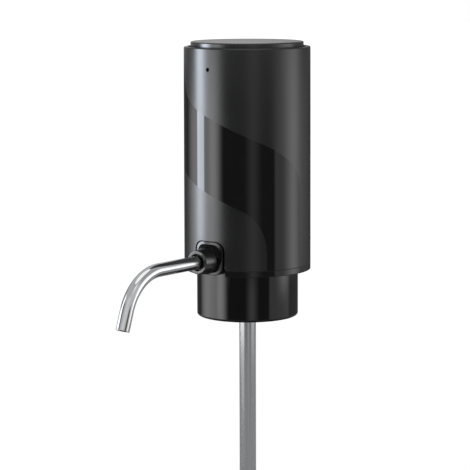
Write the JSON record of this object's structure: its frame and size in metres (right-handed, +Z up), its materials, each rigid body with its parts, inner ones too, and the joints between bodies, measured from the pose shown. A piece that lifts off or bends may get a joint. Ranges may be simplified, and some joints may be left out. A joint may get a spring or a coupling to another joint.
{
  "type": "electric wine aerator",
  "caption": "Cylindrical battery-powered wine aerator that plugs a bottle's mouth: push-button top, bent steel spout at the side, polished collar and telescopic dip tube below.",
  "frame": {"origin": "centre of the bottle's mouth, on the plane where its lip seats against the stopper's flange", "axes": "+Z up along the casing's axis, spout along -Y, charging port along +Y"},
  "size_m": [0.06, 0.1247, 0.2231],
  "materials": {
    "case_satin": "satin black spray finish with a gloss ribbon across the front",
    "gloss_black": "polished black ABS",
    "spout_steel": "polished stainless steel",
    "tube_steel": "drawn stainless steel",
    "fastener_steel": "zinc-plated steel",
    "silicone_black": "black silicone",
    "silicone_clear": "translucent silicone",
    "abs_dark": "textured dark ABS",
    "acetal_white": "natural acetal",
    "board_green": "green solder mask",
    "chip_black": "black epoxy",
    "lens_clear": "clear acrylic",
    "cell_wrap": "blue shrink sleeve",
    "lead_red": "red wire insulation",
    "foam_grey": "closed-cell foam",
    "magnet_grey": "ferrite",
    "core_steel": "stacked electrical steel",
    "copper": "enamelled copper",
    "brass": "sintered bronze and brass"
  },
  "bodies": {
    "housing": {"outer_casing": "case_satin", "bottom_cover": "case_satin", "collar": "gloss_black", "spout_manifold": "gloss_black", "switch_body": "chip_black", "board_header": "chip_black", "pcb_components": "chip_black", "manifold_screws": "fastener_steel", "cover_screws": "fastener_steel", "deck_screws": "fastener_steel", "pump_screws": "fastener_steel", "button_spring": "fastener_steel", "usb_socket": "fastener_steel", "battery_tabs": "fastener_steel", "motor_can": "fastener_steel", "neck_sleeve": "silicone_black", "bottle_stopper": "silicone_black", "usb_gasket": "silicone_black", "diaphragm": "silicone_black", "valve_sheet": "silicone_black", "check_valve": "silicone_black", "air_hose": "silicone_clear", "chassis": "abs_dark", "upper_deck": "abs_dark", "pump_frame": "abs_dark", "pump_cover": "abs_dark", "indicator_led": "acetal_white", "motor_end_cap": "acetal_white", "valve_plate": "acetal_white", "light_pipe": "lens_clear", "switch_pcb": "board_green", "main_pcb": "board_green", "battery_cell": "cell_wrap", "battery_leads": "lead_red", "motor_leads": "lead_red", "foam_pads": "foam_grey", "motor_cushion": "foam_grey", "motor_magnets": "magnet_grey", "motor_brushes": "copper", "motor_terminals": "brass", "motor_bearings": "brass"},
    "button": {"top_button": "case_satin", "button_clip": "fastener_steel"},
    "plunger": {"switch_plunger": "acetal_white"},
    "rotor": {"motor_shaft": "fastener_steel", "armature": "core_steel", "armature_windings": "copper", "commutator": "copper", "eccentric": "acetal_white", "drive_pin": "fastener_steel"},
    "wobbler": {"wobble_plate": "acetal_white"},
    "spout_seal": {"spout_bush": "silicone_black"},
    "spout": {"spout_tube": "spout_steel"},
    "tube_outer": {"dip_tube_outer": "tube_steel"},
    "tube_middle": {"dip_tube_middle": "tube_steel", "middle_seal": "silicone_clear"},
    "tube_inner": {"dip_tube_inner": "tube_steel", "inner_seal": "silicone_clear", "foot_strainer": "abs_dark"}
  },
  "joints": [
    {"name": "button_press", "type": "slide", "parent": "housing", "child": "button", "axis": [0, 0, -1], "range_m": [0, 0.0012], "stiffness_N_per_m": 2000, "springref_m": -0.0005, "deforming": ["button_spring"]},
    {"name": "switch_press", "type": "slide", "parent": "housing", "child": "plunger", "axis": [0, 0, -1], "range_m": [0, 0.0012]},
    {"name": "motor_spin", "type": "hinge", "parent": "housing", "child": "rotor", "pos_m": [-0.0105, 0, 0.0366], "axis": [0, 0, 1], "continuous": true},
    {"name": "plate_wobble", "type": "hinge", "parent": "rotor", "child": "wobbler", "pos_m": [-0.0105, 0, 0.0366], "axis": [0.1219, 0, 0.9925], "continuous": true, "deforming": ["diaphragm"]},
    {"name": "spout_pull", "type": "slide", "parent": "housing", "child": "spout_seal", "axis": [0, -1, 0], "range_m": [0, 0.014]},
    {"name": "spout_swivel", "type": "hinge", "parent": "spout_seal", "child": "spout", "pos_m": [0, -0.03, 0.01105], "axis": [0, -1, 0], "continuous": true},
    {"name": "dip_tube_pull", "type": "slide", "parent": "housing", "child": "tube_outer", "axis": [0, 0, -1], "range_m": [0, 0.024]},
    {"name": "tube_middle_slide", "type": "slide", "parent": "tube_outer", "child": "tube_middle", "axis": [0, 0, -1], "range_m": [0, 0.085]},
    {"name": "tube_inner_slide", "type": "slide", "parent": "tube_middle", "child": "tube_inner", "axis": [0, 0, -1], "range_m": [0, 0.085]}
  ],
  "couplings": [
    {"joint": "switch_press", "follows": "button_press", "ratio": 1},
    {"joint": "plate_wobble", "follows": "motor_spin", "ratio": -1}
  ]
}
